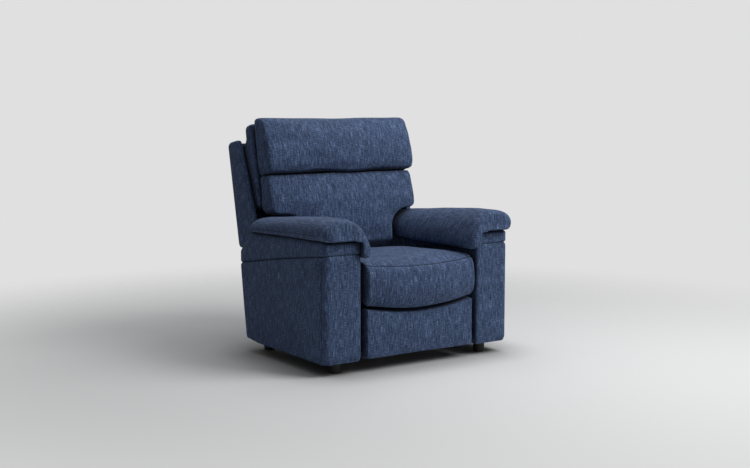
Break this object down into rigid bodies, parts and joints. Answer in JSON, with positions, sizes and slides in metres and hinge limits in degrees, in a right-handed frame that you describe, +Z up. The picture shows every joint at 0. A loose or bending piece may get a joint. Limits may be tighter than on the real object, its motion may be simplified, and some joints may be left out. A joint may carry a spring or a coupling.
{
  "type": "recliner armchair",
  "caption": "Upholstered power recliner armchair with padded arms, pillow back and a folding footrest.",
  "frame": {"origin": "on the floor under the centre of the chair’s overall box, back upright and footrest folded", "axes": "+Z up; the chair faces -Y; +X is the sitter’s left"},
  "size_m": [1.012, 0.9822, 1.0605],
  "materials": {
    "navy_fabric": "woven navy linen-look upholstery, matt",
    "black_steel": "black painted pressed steel",
    "zinc_rod": "plated actuator rod",
    "birch_ply": "birch plywood, unfinished",
    "black_plastic": "black moulded plastic",
    "foot_black": "black foot",
    "spring_wire": "drawn spring wire"
  },
  "bodies": {
    "base": {"arm_band_left": "navy_fabric", "arm_band_right": "navy_fabric", "arm_base_board_left": "birch_ply", "arm_base_board_right": "birch_ply", "arm_front_panel_left": "navy_fabric", "arm_front_panel_right": "navy_fabric", "arm_inner_panel_left": "navy_fabric", "arm_inner_panel_right": "navy_fabric", "arm_outer_panel_left": "navy_fabric", "arm_outer_panel_right": "navy_fabric", "arm_pad_left": "navy_fabric", "arm_pad_right": "navy_fabric", "arm_rear_panel_left": "navy_fabric", "arm_rear_panel_right": "navy_fabric", "control_bezel": "black_plastic", "foot_front_left": "foot_black", "foot_front_right": "foot_black", "foot_rear_left": "foot_black", "foot_rear_right": "foot_black", "footrest_gearbox": "black_plastic", "footrest_motor": "black_steel", "mechanism_plate_left": "black_steel", "mechanism_plate_right": "black_steel", "power_box": "black_plastic", "rear_cross_tube": "black_steel", "rear_skirt": "navy_fabric", "seat_cross_bar": "black_steel", "seat_cushion": "navy_fabric", "seat_front_rail": "birch_ply", "seat_rear_rail": "birch_ply", "seat_side_rail_left": "birch_ply", "seat_side_rail_right": "birch_ply", "seat_spring_1": "spring_wire", "seat_spring_2": "spring_wire", "seat_spring_3": "spring_wire", "seat_spring_4": "spring_wire"},
    "back": {"back_board": "birch_ply", "back_core": "navy_fabric", "back_hinge_bracket_left": "black_steel", "back_hinge_bracket_right": "black_steel", "back_rear_panel": "navy_fabric", "back_wing_left": "navy_fabric", "back_wing_right": "navy_fabric", "headrest_cushion": "navy_fabric", "lumbar_cushion": "navy_fabric"},
    "lift_links": {"footrest_lift_link_left": "black_steel", "footrest_lift_link_right": "black_steel", "footrest_torque_tube": "black_steel"},
    "reach_links": {"footrest_reach_link_left": "black_steel", "footrest_reach_link_right": "black_steel"},
    "control_links": {"footrest_control_link_left": "black_steel", "footrest_control_link_right": "black_steel"},
    "footrest": {"footrest_board": "birch_ply", "footrest_pad": "navy_fabric", "footrest_bracket_left": "black_steel", "footrest_bracket_right": "black_steel"},
    "actuator_body": {"back_actuator_housing": "black_plastic"},
    "actuator_rod": {"back_actuator_rod": "zinc_rod"},
    "rocker_footrest": {"footrest_rocker": "black_plastic"},
    "rocker_back": {"back_rocker": "black_plastic"}
  },
  "joints": [
    {"name": "back_recline", "type": "hinge", "parent": "base", "child": "back", "pos_m": [0, 0.16485, 0.33], "axis": [-1, 0, 0], "range_deg": [0, 42]},
    {"name": "footrest_extend", "type": "hinge", "parent": "base", "child": "lift_links", "pos_m": [0, -0.26039, 0.28678], "axis": [-1, 0, 0], "range_deg": [0, 97.47]},
    {"name": "reach_pivot", "type": "hinge", "parent": "lift_links", "child": "reach_links", "pos_m": [0, -0.13873, 0.06417], "axis": [1, 0, 0], "range_deg": [0, 94]},
    {"name": "panel_pivot", "type": "hinge", "parent": "reach_links", "child": "footrest", "pos_m": [0, -0.35715, 0.19936], "axis": [-1, 0, 0], "range_deg": [0, 91.5]},
    {"name": "control_pivot", "type": "hinge", "parent": "lift_links", "child": "control_links", "pos_m": [0, -0.13873, 0.09728], "axis": [1, 0, 0], "range_deg": [0, 94.2]},
    {"name": "actuator_pivot", "type": "hinge", "parent": "base", "child": "actuator_body", "pos_m": [0.205, -0.12515, 0.262], "axis": [-1, 0, 0], "range_deg": [0, 0.775]},
    {"name": "actuator_stroke", "type": "slide", "parent": "actuator_body", "child": "actuator_rod", "axis": [0, -0.9988, 0.0497], "range_m": [0, 0.06505]},
    {"name": "footrest_switch", "type": "hinge", "parent": "base", "child": "rocker_footrest", "pos_m": [0.4945, -0.22415, 0.4], "axis": [0, 1, 0], "range_deg": [-5, 5], "stiffness_Nm_per_rad": 0.4},
    {"name": "back_switch", "type": "hinge", "parent": "base", "child": "rocker_back", "pos_m": [0.4945, -0.17615, 0.4], "axis": [0, 1, 0], "range_deg": [-5, 5], "stiffness_Nm_per_rad": 0.4}
  ],
  "couplings": [
    {"joint": "reach_pivot", "follows": "footrest_extend", "ratio": 0.95944},
    {"joint": "panel_pivot", "follows": "footrest_extend", "ratio": 0.93411},
    {"joint": "control_pivot", "follows": "footrest_extend", "ratio": 0.96096},
    {"joint": "actuator_pivot", "follows": "back_recline", "ratio": 0.016922},
    {"joint": "actuator_stroke", "follows": "back_recline", "m_per_rad": 0.087867}
  ]
}
